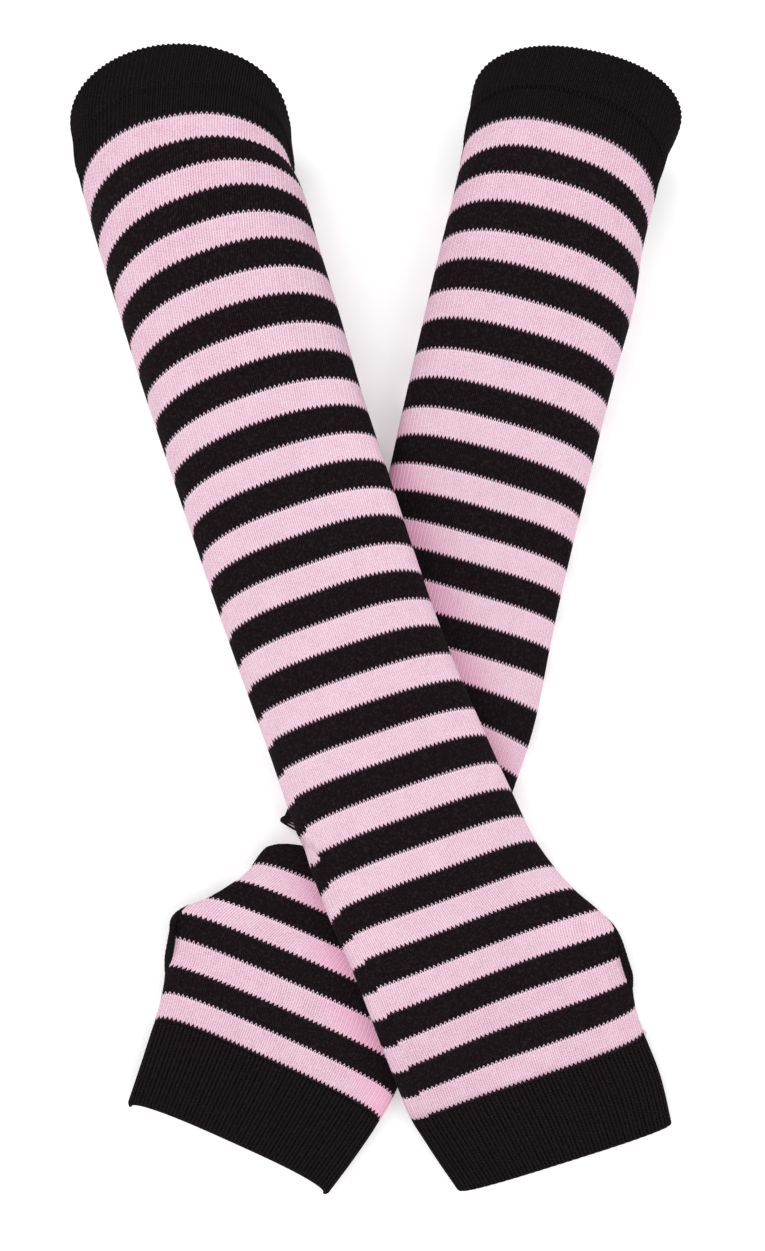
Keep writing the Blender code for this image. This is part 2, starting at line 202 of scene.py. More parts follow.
# Thumb slit of the finish: its middle along the cloth, and how its upper end turns under
SLIT_MIDDLE = {"over": 348.0, "under": 345.0}
SLIT_TURN = 4.6
SLIT_TURN_FADE = 28.0
SLIT_TURN_FROM = 45.0
SLIT_TURN_TO = 6.0
SLIT_TURN_OUT = 22.0

# Bound edge of the finish: a cord that stands out most along its middle
EDGING_GAP = 0.25
EDGING_FOOT = -1.0
EDGING_RISE = 2.7
EDGING_END_RISE = 0.3
EDGING_RISES_FROM = 8.0
EDGING_RISES_IN = 14.0
EDGING_FALLS_TO = 17.0
EDGING_FALLS_IN = 8.0
EDGING_SWELL = 0.12

# Finer forms that only the finish has
LINKING_DEPTH = 0.25
LINKING_WIDTH = 0.7
LINKING_SHOWS = {"over": 0.25, "under": 0.7}
RIB_START = 3.0
RIB_AT_SEAM = 0.35
RIB_HUMP = 0.65
RIB_GROOVE = 0.4
CUFF_RIDGES = 3.2
RIM_INSIDE_RIDGES = 0.3
YARN_END_RADIUS = 0.22
YARN_END_TIP = 0.4
YARN_END = ((94.6, -139.4, 6.0), (96.0, -140.6, 5.6), (97.2, -141.2, 4.6), (98.0, -142.4, 3.6),
            (98.2, -143.6, 2.6))

# Slow waves of loose cloth: millimetres for a radian along the cloth, radians round the tube
SLOW_WAVES = ((21.0, 5.0), (47.0, -14.0))
QUICK_WAVES = ((9.0, 31.0), (29.0, 0.0))
SLOW_SHARE = 0.7

# Where the yarns change: the wale, and how many wales further round it starts at the rim
JOG = {"over": (52.5, 17.0), "under": (91.0, 0.0)}
TWIST_END = 200.0
PINK_NARROWER = 0.18

# Relief and colour of a stitch: courses for a wale, metres, and noise for each metre
LEG_SLANT = 1.6
LEG_ROUNDNESS = 0.6
STRAND_SHARE = 0.45
BUMP_DISTANCE = 0.00016
BUMP_STRENGTH = 0.75
HAIR_SCALE = 3200.0
HAIR_SHARE = 0.35
YARN_ROUGHNESS = 0.92
PINK_SHEEN_TINT = (1.0, 0.93, 0.96, 1.0)
BLACK_SHEEN_TINT = (0.9, 0.9, 1.0, 1.0)
FLECK_SCALE = 1500.0
FLECKS = 0.8

# Edge of a stripe in millimetres: its raggedness, its sharpness and the loop in each tooth
RAGGED_SCALE = 2200.0
RAGGED = 0.3
EDGE_BLUR = 0.06
LOOP_BELOW = 0.42
LOOP_STRETCH = 0.75
LOOP_FADES = 0.36
LOOP_FULL = 0.14
BLACK_LOOP = 0.9
PINK_LOOP = 0.04
BRIM_SHARE = 0.4
FRINGE_MIDDLE = 0.35
FRINGE_SHARE = 0.2

# Pale pink, and a deeper warm pink painted as contact shade: shares of the colours, and metres from
# the upper arm warmer's axis
MOTTLE_SHARE = 0.12
PALE_MIDDLE_SHARE = 0.12
CONTACT_SHADE_SHARE = 0.6
CONTACT_SHADE_FULL = 0.034
CONTACT_SHADE_GONE = 0.052

# Grey bloom on black yarn, and the holes along the linking of a welt, painted darker as shade
STRIPE_FUZZ = 0.35
CUFF_FUZZ = 0.4
HOLE_SHADE = (0.001, 0.001, 0.001, 1.0)
HOLE_DEPTH = 2.0
LINKING_LAG = 0.3

# Soft lights: place and size in metres, and share of the power
SOFTBOXES = (
    ("softbox_left", (-0.9, 0.7, 1.3), (1.4, 1.4), 1.0),
    ("softbox_right", (1.0, -0.3, 1.2), (1.2, 1.2), 0.6),
)
FLOOR_HALF = 3.0
FLOOR_ROUGHNESS = 0.9
FLOOR_SPECULAR = 0.1
SENSOR = 36.0
CLIP_START = 0.01
WHITE = (1.0, 1.0, 1.0, 1.0)


def ease(t):
    """Smooth step from 0 to 1."""
    t = np.clip(t, 0.0, 1.0)
    return t * t * (3 - 2 * t)


def fall(outside, full_until, gone_at):
    """1 well inside an edge and 0 well outside it, on half a cosine wave."""
    t = np.clip((outside + full_until) / (full_until + gone_at), 0.0, 1.0)
    return 0.5 * (1 + np.cos(math.pi * t))


class Tube:
    """The form of one arm warmer: its axis, its sections and what it lies on."""

    def __init__(self, sections, start, heading, thumb, slit, bend=(0.0, 0.0, 0.0), twist=0.0,
                 bed=None):
        """A bend is its degrees and where it starts and ends down the axis."""
        rows = np.array(sections)
        self.places = rows[:, 0]
        self.values = {name: rows[:, k] for k, name in enumerate(COLUMNS)}
        self.slopes = {name: np.gradient(column, self.places)
                       for name, column in self.values.items() if name != "cloth"}
        self.thumb = thumb
        self.twist = twist
        self.slit = slit
        self.bed = bed
        turn, turn_from, turn_to = bend
        downs = np.arange(0.0, LENGTH + AXIS_SPARE, 1.0)
        share = ease((downs - turn_from) / max(turn_to - turn_from, 1.0))
        headings = np.radians(heading + turn * share)
        along = np.stack([np.sin(headings), -np.cos(headings)], axis=1)
        middles = 0.5 * (along[1:] + along[:-1])
        self.downs = downs
        travelled = np.concatenate([np.zeros((1, 2)), np.cumsum(middles, axis=0)])
        self.points = np.array(start) + travelled
        self.along = along
        self.across = np.stack([np.cos(headings), np.sin(headings)], axis=1)

    def at(self, column, cloth):
        """Value of one column at a place along the cloth, on a smooth curve through its rows."""
        i = int(np.clip(np.searchsorted(self.places, cloth) - 1, 0, len(self.places) - 2))
        span = self.places[i + 1] - self.places[i]
        t = (cloth - self.places[i]) / span
        values, slopes = self.values[column], self.slopes[column]
        start = (2 * t**3 - 3 * t**2 + 1) * values[i] + (t**3 - 2 * t**2 + t) * span * slopes[i]
        end = (3 * t**2 - 2 * t**3) * values[i + 1] + (t**3 - t**2) * span * slopes[i + 1]
        return start + end

    def axis(self, down):
        """Point, direction and sideways direction of the axis."""
        return [np.array([np.interp(down, self.downs, part[:, k]) for k in range(2)])
                for part in (self.points, self.along, self.across)]

    def loop(self, cloth):
        """Closed section: sideways, height, outward normal and run of its points.

        It starts at the thumb side and goes over the top. The underside is cut flat where
        the tube rests.
        """
        left, right, crown = (self.at(name, cloth) for name in ("left", "right", "crown"))
        half = 0.5 * (left + right)
        middle = 0.5 * (right - left)
        side = 0.5 * crown
        flatness = np.clip((FULL_CROWN - crown) / (FULL_CROWN - FLAT_CROWN), 0.0, 1.0)
        top_power = ROUND_POWER + (FLAT_POWER - ROUND_POWER) * flatness
        top_power = top_power - RIM_ROUNDER * max(0.0, 1 - cloth / TOP_CUFF)
        angle = np.linspace(0.0, 2 * math.pi, LOOP_SAMPLES, endpoint=False)
        c, s = np.cos(angle), np.sin(angle)
        power = np.where(s >= 0, top_power, UNDER_POWER)
        u = middle + self.thumb * half * np.sign(c) * np.abs(c) ** (2 / power)
        z = side * (1 + np.sign(s) * np.abs(s) ** (2 / power))
        sunk = FLAT_SHARE * side
        z = np.where(s >= 0, z, np.maximum(0.0, (z - sunk) * side / (side - sunk)))
        ahead = np.roll(np.stack([u, z]), -1, axis=1)
        behind = np.roll(np.stack([u, z]), 1, axis=1)
        run = ahead - behind
        length = np.maximum(np.hypot(run[0], run[1]), 1e-9)
        outward = np.stack([run[1], -run[0]]) / length * self.thumb
        steps = np.hypot(ahead[0] - u, ahead[1] - z)
        arc = np.concatenate([[0.0], np.cumsum(steps)])
        return u, z, outward, arc

    def row(self, cloth, shares, offset, cut=0.0):
        """Space points in metres at shares of the way round, moved outward by an offset.

        A cut leaves out a stretch on both sides of the start, where the thumb slit is.
        """
        u, z, outward, arc = self.loop(cloth)
        total = arc[-1]
        twisted = self.twist * max(0.0, 1 - cloth / TWIST_END) ** 2
        arcs = np.mod(cut + shares * (total - 2 * cut) + twisted, total)
        beside = ease(1 - np.minimum(arcs, total - arcs) / SLIT_TURN_FADE)
        arcs = np.mod(arcs - self.turned(cloth) * beside, total)
        side, height, side_out, height_out = (
            np.interp(arcs, arc, np.append(part, part[0]))
            for part in (u, z, outward[0], outward[1]))
        pressed = np.clip(height / RIB_FADE, 0.0, 1.0)
        offset = np.where(offset > 0, offset * pressed, offset)
        return self.place(cloth, side + offset * side_out,
                          np.maximum(0.0, height + offset * height_out))

    def turned(self, cloth):
        """How far the upper end of the thumb slit turns under the side."""
        along = cloth - self.slit
        before_end = ease((SLIT_TURN_TO - along) / SLIT_TURN_OUT)
        return SLIT_TURN * float(before_end * ease((along + SLIT_TURN_FROM) / SLIT_TURN_FADE))

    def place(self, cloth, u, z):
        """Space points for sideways places and heights of one section."""
        left, right, crown, lean, skew, down = (
            self.at(name, cloth) for name in ("left", "right", "crown", "lean", "skew", "down"))
        half = 0.5 * (left + right)
        middle = 0.5 * (right - left)
        level = (z - 0.5 * crown) / (0.5 * crown)
        trail = UNDER_TRAIL_RIM + (UNDER_TRAIL_HEM - UNDER_TRAIL_RIM) * cloth / LENGTH
        below = np.minimum(level, 0.0)
        sharp = ease((cloth - SLEEVE_END) / HAND_CUFF)
        lead = lean * (level + (1 - sharp) * (1 - trail) * below**2 - sharp * HEM_MIRROR * below)
        softened = float(ease((cloth - SOFTENED_FROM) / SOFTENED_IN)
                         * ease((SOFTENED_TO - cloth) / SOFTENED_OUT))
        lead = lead + lean * SIDE_SOFTENING * softened * np.exp(-((level / SIDE_WIDTH) ** 2))
        point, along, across = self.axis(down)
        shift = skew * (u - middle) / half - lead
        plan = point + np.outer(shift, along) + np.outer(u, across)
        if self.bed:
            floor, soft = self.bed(plan)
            z = z + floor * (1 - z / crown) + soft * z / crown
        return np.column_stack([plan, z]) * MM


def make_bed(lower):
    """Height that the upper tube rests on, and the softer rise that its top shows."""
    cloths = np.arange(0.0, LENGTH, BED_STEP)
    frames = [lower.axis(lower.at("down", c)) for c in cloths]
    points, along, across = (np.array([part[k] for part in frames]) for k in range(3))
    left, right, crown = (np.array([lower.at(name, c) for c in cloths])
                          for name in ("left", "right", "crown"))

    def bed(plan):
        """Both rises under points seen from above."""
        apart = plan[:, None, :] - points[None, :, :]
        nearest = np.argmin((apart**2).sum(axis=2), axis=1)
        picked = apart[np.arange(len(plan)), nearest]
        ahead = (picked * along[nearest]).sum(axis=1)
        sideways = (picked * across[nearest]).sum(axis=1)
        place = cloths[nearest] + ahead
        high = np.interp(place, cloths, crown) + REST_GAP
        outside = np.maximum(sideways - np.interp(place, cloths, right),
                             -sideways - np.interp(place, cloths, left))
        floor = high * fall(outside, SHOULDER_INSIDE, SHOULDER_OUTSIDE)
        soft = high * fall(outside, SOFT_INSIDE, SOFT_OUTSIDE)
        return floor, soft

    return bed


def tubes():
    """The two tubes by the prefix of their nodes' names."""
    twist = bpy.context.scene.knit_sizes.twist / MM
    bend = (UNDER_TURN, UNDER_TURN_FROM, UNDER_TURN_TO)
    under = Tube(UNDER_SECTIONS, UNDER_START, UNDER_HEADING, -1, SLIT_MIDDLE["under"], bend=bend)
    over = Tube(OVER_SECTIONS, OVER_START, OVER_HEADING, 1, SLIT_MIDDLE["over"], twist=twist,
                bed=make_bed(under))
    return {"over": over, "under": under}


class Shell:
    """A closed wall of cloth, built up row by row with its knitting coordinates.

    The coordinates are the number of the wale or rib round the tube, and the place along
    the cloth in millimetres.
    """

    def __init__(self):
        self.points, self.rows, self.faces, self.corners = [], [], [], []
        self.count = 0

    def add(self, points, wales, cloth, is_open=False):
        """A row of points round the tube. Unless it is open, it ends on its own first point."""
        kept = points if is_open else points[:-1]
        index = self.count + np.arange(len(points))
        if not is_open:
            index[-1] = self.count
        self.points.append(kept)
        self.count += len(kept)
        places = np.column_stack([wales, np.full(len(points), cloth)])
        self.rows.append((index, places))
        return len(self.rows) - 1

    def quads(self, corners):
        """Faces through four lists of corners, each an index and its coordinates."""
        self.faces.append(np.stack([index for index, _ in corners], axis=1))
        self.corners.append(np.stack([places for _, places in corners], axis=1))

    def strip(self, first, second):
        """Faces between two rows."""
        (a, at_a), (b, at_b) = self.rows[first], self.rows[second]
        self.quads([(a[:-1], at_a[:-1]), (a[1:], at_a[1:]), (b[1:], at_b[1:]), (b[:-1], at_b[:-1])])

    def flanks(self, rows):
        """Faces across the wall at both edges of the slit, between two rows and their insides."""
        for edge in (slice(0, 1), slice(-1, None)):
            self.quads([(self.rows[row][0][edge], self.rows[row][1][edge]) for row in rows])

    def chain(self, rows):
        """Strips through a list of rows."""
        for first, second in zip(rows[:-1], rows[1:]):
            self.strip(first, second)

    def build(self, name, material):
        """The mesh object, with its normals outward."""
        mesh = bpy.data.meshes.new(name)
        faces = np.concatenate(self.faces)
        mesh.from_pydata(np.concatenate(self.points).tolist(), [], faces.tolist())
        layer = mesh.uv_layers.new(name="knit")
        layer.data.foreach_set("uv", np.concatenate(self.corners).astype(np.float32).ravel())
        mesh.materials.append(material)
        work = bmesh.new()
        work.from_mesh(mesh)
        bmesh.ops.recalc_face_normals(work, faces=work.faces[:])
        work.to_mesh(mesh)
        work.free()
        mesh.shade_smooth()
        piece = bpy.data.objects.new(name, mesh)
        bpy.context.collection.objects.link(piece)
        return piece


def stand_for(piece, slot, *nodes):
    """Let a piece take the place of its nodes."""
    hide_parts(*nodes)
    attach(piece, "root")


class Shader:
    """Short calls that add nodes to one material."""

    def __init__(self, name):
        self.material = bpy.data.materials.new(name)
        self.material.use_nodes = True
        self.tree = self.material.node_tree
        self.surface = self.tree.nodes["Principled BSDF"]

    def node(self, kind, **settings):
        """A new node with its settings."""
        made = self.tree.nodes.new(kind)
        for name, value in settings.items():
            setattr(made, name, value)
        return made

    def feed(self, socket, value):
        """Link a socket, or set it where the value is a number or a colour."""
        if isinstance(value, bpy.types.NodeSocket):
            self.tree.links.new(value, socket)
        else:
            socket.default_value = value

    def math(self, operation, first, second=0.5, third=0.0, clamp=False):
        """One step of arithmetic on sockets or numbers."""
        made = self.node("ShaderNodeMath", operation=operation, use_clamp=clamp)
        for socket, value in zip(made.inputs, (first, second, third)):
            self.feed(socket, value)
        return made.outputs[0]

    def smooth(self, value, low, high):
        """0 below one value, 1 above the other, with a soft step between."""
        made = self.node("ShaderNodeMapRange", interpolation_type="SMOOTHSTEP")
        for name, given in (("Value", value), ("From Min", low), ("From Max", high)):
            self.feed(made.inputs[name], given)
        return made.outputs["Result"]

    def blend(self, share, first, second):
        """Mix two colours."""
        made = self.node("ShaderNodeMix", data_type="RGBA")
        self.feed(made.inputs["Factor"], share)
        mixed = [socket for socket in made.inputs if socket.type == "RGBA"]
        self.feed(mixed[0], first)
        self.feed(mixed[1], second)
        return [socket for socket in made.outputs if socket.type == "RGBA"][0]

    def noise(self, scale, detail):
        """Noise over the object, in metres."""
        made = self.node("ShaderNodeTexNoise")
        self.feed(made.inputs["Vector"], self.node("ShaderNodeTexCoord").outputs["Object"])
        made.inputs["Scale"].default_value = scale
        made.inputs["Detail"].default_value = detail
        return made.outputs["Fac"]

    def times(self, first, second):
        """One value times another."""
        return self.math("MULTIPLY", first, second)

    def knit_bump(self, height):
        """Let a height in shares of the bump's distance turn the surface."""
        made = self.node("ShaderNodeBump")
        made.inputs["Strength"].default_value = BUMP_STRENGTH
        made.inputs["Distance"].default_value = BUMP_DISTANCE
        self.feed(made.inputs["Height"], height)
        self.feed(self.surface.inputs["Normal"], made.outputs["Normal"])

    def hairy(self, height):
        """A relief with fine hair added to it."""
        return self.math("ADD", height, self.times(self.noise(HAIR_SCALE, 2.0), HAIR_SHARE))

    def yarn(self, sheen, tint):
        """Soft matt yarn: constants stay on the shader's own sockets."""
        values = {"Roughness": YARN_ROUGHNESS, "Specular IOR Level": 0.03, "Sheen Weight": sheen,
                  "Sheen Roughness": 0.45, "Sheen Tint": tint}
        for name, value in values.items():
            self.surface.inputs[name].default_value = value


def stitch_fields(sh, course):
    """Knitting coordinates and the relief of jersey stitches.

    Returns the wale number, the place along the cloth, the distance from the middle of the
    wale (0 to 0.5) and the height of the stitch legs (0 to 1).
    """
    split = sh.node("ShaderNodeSeparateXYZ")
    sh.feed(split.inputs[0], sh.node("ShaderNodeUVMap", uv_map="knit").outputs["UV"])
    wale, cloth = split.outputs[0], split.outputs[1]
    apart = sh.math("ABSOLUTE", sh.math("SUBTRACT", sh.math("FRACT", wale), 0.5))
    legs = sh.math("ABSOLUTE", sh.math("SINE", sh.times(apart, 2 * math.pi)))
    slant = sh.math("SUBTRACT", sh.math("DIVIDE", cloth, course), sh.times(apart, LEG_SLANT))
    strand = sh.math("ABSOLUTE", sh.math("SINE", sh.times(slant, math.pi)))
    strand = sh.math("MULTIPLY_ADD", strand, STRAND_SHARE, 1 - STRAND_SHARE)
    height = sh.times(sh.math("POWER", legs, LEG_ROUNDNESS), strand)
    return wale, cloth, apart, height


def yarn_step(sh, sizes, wale, cloth, jog_wale, jog_drift):
    """Place along the cloth, less the step of the stripes beyond the wale where yarns change."""
    untwisted = sh.math("SUBTRACT", 1.0, sh.math("DIVIDE", cloth, TWIST_END), clamp=True)
    jog_line = sh.math("MULTIPLY_ADD", sh.math("POWER", untwisted, 2.0), jog_drift, jog_wale)
    beyond = sh.math("GREATER_THAN", wale, jog_line)
    return sh.math("SUBTRACT", cloth, sh.times(beyond, sizes.jog / MM))


def stripe_fields(sh, teeth, stepped, apart):
    """Where the toothed pink stripes are.

    Returns how far inside a pink stripe a point is, its offset from the stripe's middle in
    shares of two stripes, and 1 on the striped cloth and 0 on the cuffs' courses.
    """
    toothed = sh.math("ADD", stepped, sh.math("MULTIPLY_ADD", apart, -2 * teeth, 0.5 * teeth))
    ragged = sh.math("MULTIPLY_ADD", sh.noise(RAGGED_SCALE, 1.0), RAGGED, -0.5 * RAGGED)
    toothed = sh.math("ADD", toothed, ragged)
    down = sh.math("SUBTRACT", toothed, TOP_CUFF)
    turn = sh.math("FRACT", sh.math("DIVIDE", down, 2 * STRIPE))
    offset = sh.math("WRAP", sh.math("SUBTRACT", turn, 0.25), 0.5, -0.5)
    inside = sh.math("SUBTRACT", 0.25, sh.math("ABSOLUTE", offset))
    inside = sh.math("SUBTRACT", sh.times(inside, 2 * STRIPE), PINK_NARROWER)
    knitted = sh.times(sh.smooth(stepped, TOP_CUFF - 2.0, TOP_CUFF - 1.0),
                      sh.smooth(stepped, SLEEVE_END + 2.0, SLEEVE_END + 1.0))
    return inside, offset, knitted


def pink_share(sh, sizes, stepped, apart, inside, knitted):
    """Share of pink: the stripes, with a loop of the other yarn just below each tooth's peak."""
    stripes_down = sh.math("DIVIDE", sh.math("SUBTRACT", stepped, TOP_CUFF), STRIPE)
    below = sh.math("SUBTRACT", sh.times(sh.math("FRACT", stripes_down), STRIPE), LOOP_BELOW)
    across = sh.times(apart, sizes.wale / MM)
    squares = sh.math("ADD", sh.math("POWER", sh.times(below, LOOP_STRETCH), 2.0),
                      sh.math("POWER", across, 2.0))
    loop = sh.smooth(sh.math("SQRT", squares), LOOP_FADES, LOOP_FULL)
    in_pink = sh.math("LESS_THAN", sh.math("MODULO", sh.math("FLOOR", stripes_down), 2.0), 0.5)
    black_loop = sh.times(sh.times(loop, in_pink), BLACK_LOOP)
    pink_loop = sh.times(loop, sh.math("SUBTRACT", 1.0, in_pink))
    pink_loop = sh.times(sh.times(pink_loop, PINK_LOOP), knitted)
    stripes = sh.times(sh.smooth(inside, -EDGE_BLUR, EDGE_BLUR), knitted)
    share = sh.math("SUBTRACT", stripes, black_loop, clamp=True)
    return sh.math("MAXIMUM", share, pink_loop)


def contact_shade_share(sh):
    """Share of painted contact shade, a deeper warm pink that stands in for shade and bounced light
    where the cloth lies close beside the upper arm warmer.
    """
    turned = math.radians(OVER_HEADING)
    across = (math.cos(turned), math.sin(turned), 0.0)
    axis_place = (OVER_START[0] * across[0] + OVER_START[1] * across[1]) * MM
    sideways = sh.node("ShaderNodeVectorMath", operation="DOT_PRODUCT")
    sh.feed(sideways.inputs[0], sh.node("ShaderNodeTexCoord").outputs["Object"])
    sideways.inputs[1].default_value = across
    away = sh.math("ABSOLUTE", sh.math("SUBTRACT", sideways.outputs["Value"], axis_place))
    return sh.times(sh.smooth(away, CONTACT_SHADE_GONE, CONTACT_SHADE_FULL), CONTACT_SHADE_SHARE)


def pink_cloth(sh, colours, cloth, shade_and_flecks, inside, offset, paints_contact_shade):
    """Pink paler on the stitch legs and greyer in the grooves as painted shade, with a soft mottle,
    a brim and painted contact shade where it is asked for.
    """
    pale = tuple(colours.pink_pale)
    cloudy = sh.smooth(sh.noise(160.0, 3.0), 0.35, 0.7)
    # Painted shade: the pink turns to the groove colour between the stitch legs, and the flecks
    # vary it at random
    pink = sh.blend(shade_and_flecks, tuple(colours.groove), tuple(colours.pink))
    pink = sh.blend(sh.times(cloudy, MOTTLE_SHARE), pink, pale)
    middle = sh.times(sh.smooth(cloth, 45.0, 140.0), sh.smooth(cloth, 360.0, 300.0))
    pink = sh.blend(sh.times(middle, PALE_MIDDLE_SHARE), pink, pale)
    # Painted shade and bounced light: a deeper warm pink close beside the upper arm warmer
    if paints_contact_shade:
        pink = sh.blend(contact_shade_share(sh), pink, tuple(colours.pink_contact_shade))
    brim = sh.times(sh.smooth(inside, 1.0, 0.3), sh.math("LESS_THAN", offset, 0.0))
    return sh.blend(sh.times(brim, BRIM_SHARE), pink, pale)


def black_cloth(sh, colours, shade_and_flecks, inside, knitted):
    """Black with painted shade between the legs, grey bloom and purplish loops beside the pink."""
    fuzz = sh.smooth(sh.noise(1000.0, 3.0), 0.45, 0.75)
    # Painted shade: the black darkens between the stitch legs, and the flecks vary it at random
    black = sh.blend(shade_and_flecks, tuple(colours.black_groove_shade), tuple(colours.black))
    black = sh.blend(sh.times(fuzz, STRIPE_FUZZ), black, tuple(colours.black_fuzz))
    beside = sh.math("ABSOLUTE", sh.math("ADD", inside, FRINGE_MIDDLE))
    fringe = sh.times(sh.smooth(beside, 0.7, 0.1), knitted)
    return sh.blend(sh.times(fringe, FRINGE_SHARE), black, tuple(colours.fringe))


def striped_material(name, jog_wale, jog_drift, paints_contact_shade):
    """Jersey in pink and black stripes with toothed edges, as the yarns change colour."""
    sizes = bpy.context.scene.knit_sizes
    colours = bpy.context.scene.knit_colours
    sh = Shader(name)
    wale, cloth, apart, height = stitch_fields(sh, sizes.course / MM)
    stepped = yarn_step(sh, sizes, wale, cloth, jog_wale, jog_drift)
    inside, offset, knitted = stripe_fields(sh, sizes.teeth / MM, stepped, apart)
    share = pink_share(sh, sizes, stepped, apart, inside, knitted)
    # Painted shade from the stitch height, darker in the grooves, plus flecks of random tone
    flecks = sh.math("MULTIPLY_ADD", sh.noise(FLECK_SCALE, 1.0), FLECKS, -0.5 * FLECKS)
    shade_and_flecks = sh.math("ADD", height, flecks, clamp=True)
    pink = pink_cloth(sh, colours, cloth, shade_and_flecks, inside, offset, paints_contact_shade)
    black = black_cloth(sh, colours, shade_and_flecks, inside, knitted)
    sh.feed(sh.surface.inputs["Base Color"], sh.blend(share, black, pink))
    sh.knit_bump(sh.hairy(height))
    sh.yarn(0.015, PINK_SHEEN_TINT)
    return sh.material


def black_material(name, dimple_row=0.0, dimple_share=1.0):
    """Plain black jersey or rib, with painted shade between the legs, grey fuzz and, on a welt, the
    row of its linking with painted shade in its holes.
    """
    sizes = bpy.context.scene.knit_sizes
    colours = bpy.context.scene.knit_colours
    sh = Shader(name)
    _, cloth, apart, height = stitch_fields(sh, sizes.course / MM)
    fuzz = sh.smooth(sh.noise(1900.0, 2.0), 0.48, 0.8)
    # Painted shade: the cuff black darkens between the stitch legs
    leg = sh.smooth(height, 0.25, 0.8)
    black = sh.blend(leg, tuple(colours.black_groove_shade), tuple(colours.cuff_black))
    black = sh.blend(sh.times(fuzz, CUFF_FUZZ), black, tuple(colours.black_fuzz))
    relief = sh.hairy(height)
    if dimple_row:
        along = sh.math("ABSOLUTE", sh.math("SUBTRACT", cloth, dimple_row))
        hole = sh.times(sh.smooth(along, 0.75, 0.25), sh.smooth(apart, 0.34, 0.12))
        hole = sh.times(hole, dimple_share)
        # Painted shade: the linking holes are painted darker; their dip is in the relief
        black = sh.blend(hole, black, HOLE_SHADE)
        relief = sh.math("SUBTRACT", relief, sh.times(hole, HOLE_DEPTH))
    sh.feed(sh.surface.inputs["Base Color"], black)
    sh.knit_bump(relief)
    sh.yarn(0.01, BLACK_SHEEN_TINT)
    return sh.material


def soft_waves(shares, cloth, depth):
    """Slow unevenness of loose cloth, over the top of a tube only."""
    over_top = np.maximum(0.0, np.sin(2 * math.pi * shares))
    slow, fading = (cloth / length + turn * shares for length, turn in SLOW_WAVES)
    quick, beating = (cloth / length + turn * shares for length, turn in QUICK_WAVES)
    slow_part = SLOW_SHARE * np.sin(slow) * np.cos(fading)
    return depth * over_top * (slow_part + (1 - SLOW_SHARE) * np.sin(quick) * np.sin(beating))


def wale_relief(wales, height):
    """Ridges of the wales, lowest between two of them."""
    return -height * np.cos(2 * math.pi * wales)


def rib_relief(ribs, height):
    """Ribs with two legs each and a deep groove between them."""
    turns = 2 * math.pi * ribs
    return -height * (RIB_HUMP * np.cos(turns) + RIB_GROOVE * np.cos(2 * turns))


def slit_half_width(along):
    """Half width of the thumb slit in the sleeve, just under its bound edge."""
    reach = along / (SLIT_HALF_LENGTH + EDGING_GAP)
    return (SLIT_HALF_WIDTH + EDGING_GAP) * math.sqrt(max(0.0, 1 - reach**2))


def build_sleeve(prefix, tube, material):
    """Striped jersey tube with the thumb slit cut through it."""
    sizes = bpy.context.scene.knit_sizes
    wales = sizes.wales
    shares = np.linspace(0.0, 1.0, wales * POINTS_PER_WALE + 1)
    ridges = wale_relief(shares * wales, sizes.ridge / MM)
    start, end = TOP_CUFF - SEAM_COURSE, SLEEVE_END + SEAM_COURSE
    reach = SLIT_HALF_LENGTH + EDGING_GAP
    step = STRIPE / ROWS_PER_STRIPE
    slit = tube.slit + reach * np.sin(np.linspace(-0.5 * math.pi, 0.5 * math.pi, SLIT_ROWS))
    above = np.linspace(start, CREASE[0], int((CREASE[0] - start) / step) + 1)
    crease = np.linspace(*CREASE, CREASE_ROWS)
    below = np.linspace(CREASE[1], slit[0], int((slit[0] - CREASE[1]) / step) + 1)
    before = list(above[:-1]) + list(crease[:-1]) + list(below[:-1])
    after = np.linspace(slit[-1], end, int((end - slit[-1]) / step) + 1)
    places = before + list(slit) + list(after[1:])
    first = len(before)
    last = first + len(slit) - 1
    shell = Shell()
    outer, inner = [], {}
    for k, place in enumerate(places):
        cut = slit_half_width(place - tube.slit) if first < k < last else 0.0
        relief = ridges + soft_waves(shares, place, sizes.unevenness / MM)
        points = tube.row(place, shares, relief, cut)
        outer.append(shell.add(points, shares * wales, place, cut > 0))
    for k, place in enumerate(places):
        if first <= k <= last or k % INSIDE_EVERY == 0 or k == len(places) - 1:
            cut = slit_half_width(place - tube.slit) if first < k < last else 0.0
            points = tube.row(place, shares, np.full(len(shares), -SLEEVE_WALL), cut)
            inner[k] = shell.add(points, shares * wales, place, cut > 0)
    shell.chain(outer)
    shell.chain(list(inner.values()))
    shell.strip(outer[0], inner[0])
    shell.strip(outer[-1], inner[len(places) - 1])
    for k in range(first, last):
        shell.flanks((outer[k], outer[k + 1], inner[k + 1], inner[k]))
    return shell.build(prefix + "_striped_sleeve", material)


def fold_over(outside, inside, turned):
    """Half round of a folded edge: how far from the edge, and how far outward, at an angle."""
    radius = 0.5 * (outside - inside)
    return radius * (1 - math.sin(turned)), 0.5 * (outside + inside) + radius * math.cos(turned)


